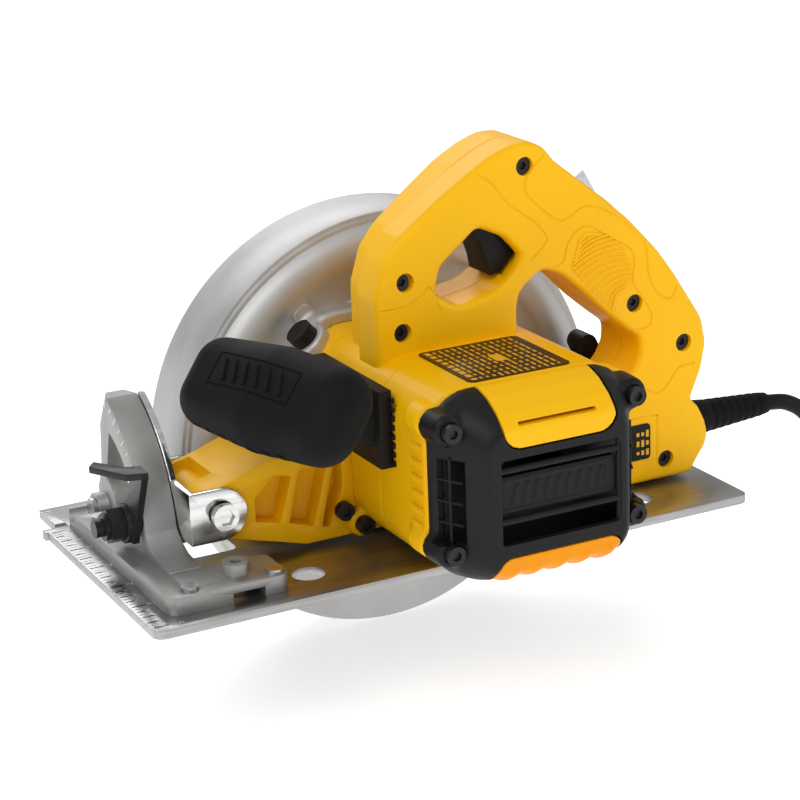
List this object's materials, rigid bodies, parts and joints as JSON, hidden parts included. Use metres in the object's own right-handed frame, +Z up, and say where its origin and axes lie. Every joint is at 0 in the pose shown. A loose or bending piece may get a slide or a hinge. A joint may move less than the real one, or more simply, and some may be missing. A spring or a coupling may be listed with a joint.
{
  "type": "circular saw",
  "caption": "Corded circular saw with a D-shaped rear handle, a front handle, a bevelling shoe and a swinging lower blade guard.",
  "frame": {"origin": "middle of the sole, the lower face of the shoe", "axes": "+X from front to rear, +Y from the motor side to the blade side, +Z up out of the shoe"},
  "size_m": [0.6225, 0.212, 0.2497],
  "materials": {
    "shoe_metal": "brushed",
    "cast_metal": "cast, satin",
    "plain_steel": "satin",
    "bright_steel": "bright zinc",
    "black_steel": "satin black",
    "yellow_plastic": "satin",
    "orange_plastic": "satin",
    "black_plastic": "satin",
    "black_rubber": "matt",
    "label_film": "printed film",
    "guard_paint": "satin silver paint",
    "lower_guard_paint": "satin grey paint",
    "blade_steel": "ground",
    "copper_wire": "enamelled wire",
    "brass_sheet": "sheet",
    "carbon": "pressed carbon",
    "core_steel": "laminated",
    "cord_rubber": "matt"
  },
  "bodies": {
    "base": {"shoe_plate": "shoe_metal", "bevel_quadrant": "cast_metal", "shoe_rivets": "bright_steel", "rear_hinge_lug": "plain_steel", "hinge_pins": "plain_steel"},
    "tilt": {"tilt_plate": "bright_steel", "depth_bracket": "plain_steel", "depth_pivot_bolt": "bright_steel", "bevel_bolt": "black_steel"},
    "bevel_clamp": {"bevel_lever": "black_steel", "bevel_nut": "black_steel"},
    "saw": {"motor_housing": "yellow_plastic", "front_arm": "orange_plastic", "end_cap": "black_plastic", "top_insert": "yellow_plastic", "bottom_insert": "orange_plastic", "case_screws": "black_steel", "data_label": "label_film", "upper_guard": "guard_paint", "gear_plate": "cast_metal", "handle_left": "yellow_plastic", "handle_right": "yellow_plastic", "handle_screws": "black_steel", "foot_badge": "label_film", "switch_body": "black_plastic", "trigger_spring": "plain_steel", "brush_plate": "black_plastic", "brush_holders": "brass_sheet", "carbon_brushes": "carbon", "brush_springs": "plain_steel", "stator_core": "core_steel", "field_coils": "copper_wire", "rear_bearing": "plain_steel", "front_bearing": "plain_steel", "spindle_bearing": "plain_steel", "aux_base": "black_plastic", "aux_grip": "black_rubber", "depth_bolt": "plain_steel", "lock_spring": "plain_steel", "guard_spring": "plain_steel", "power_cord": "cord_rubber", "cord_coil": "cord_rubber", "cord_boot": "cord_rubber", "plug_body": "cord_rubber", "plug_pins": "brass_sheet"},
    "depth_clamp": {"depth_lever": "black_plastic"},
    "trigger": {"trigger": "black_plastic"},
    "lock": {"lock_button": "black_plastic"},
    "guard": {"lower_guard": "lower_guard_paint", "guard_lever": "black_plastic"},
    "armature": {"armature_core": "core_steel", "motor_shaft": "plain_steel", "commutator": "copper_wire", "cooling_fan": "black_plastic"},
    "spindle": {"spindle": "plain_steel", "output_gear": "core_steel", "blade_flanges": "plain_steel", "blade": "blade_steel", "blade_bolt": "black_steel"}
  },
  "joints": [
    {"name": "bevel_tilt", "type": "hinge", "parent": "base", "child": "tilt", "pos_m": [0, 0.05, 0.012], "axis": [-1, 0, 0], "range_deg": [0, 50]},
    {"name": "depth_swing", "type": "hinge", "parent": "tilt", "child": "saw", "pos_m": [-0.097, 0, 0.03], "axis": [0, -1, 0], "range_deg": [0, 27]},
    {"name": "bevel_lever_turn", "type": "hinge", "parent": "tilt", "child": "bevel_clamp", "pos_m": [-0.13, -0.00478, 0.02364], "axis": [1, 0, 0], "range_deg": [0, 45]},
    {"name": "depth_lever_turn", "type": "hinge", "parent": "saw", "child": "depth_clamp", "pos_m": [0.13, 0, 0.03], "axis": [0, -1, 0], "range_deg": [0, 55]},
    {"name": "trigger_pull", "type": "hinge", "parent": "saw", "child": "trigger", "pos_m": [0.044, -0.0295, 0.151], "axis": [0, -1, 0], "range_deg": [0, 10], "stiffness_Nm_per_rad": 1, "springref_deg": -17.19},
    {"name": "lock_press", "type": "slide", "parent": "saw", "child": "lock", "axis": [0.6508, 0, -0.7593], "range_m": [0, 0.003], "stiffness_N_per_m": 800, "springref_m": -0.003},
    {"name": "guard_swing", "type": "hinge", "parent": "saw", "child": "guard", "pos_m": [0.02, 0.039, 0.027], "axis": [0, -1, 0], "range_deg": [0, 110], "stiffness_Nm_per_rad": 0.08, "springref_deg": -171.89},
    {"name": "spindle_spin", "type": "hinge", "parent": "saw", "child": "spindle", "pos_m": [0.02, 0.05, 0.027], "axis": [0, 1, 0], "continuous": true},
    {"name": "armature_spin", "type": "hinge", "parent": "saw", "child": "armature", "pos_m": [0.018, -0.05, 0.05], "axis": [0, 1, 0], "continuous": true}
  ],
  "couplings": [
    {"joint": "armature_spin", "follows": "spindle_spin", "ratio": -4.6}
  ]
}
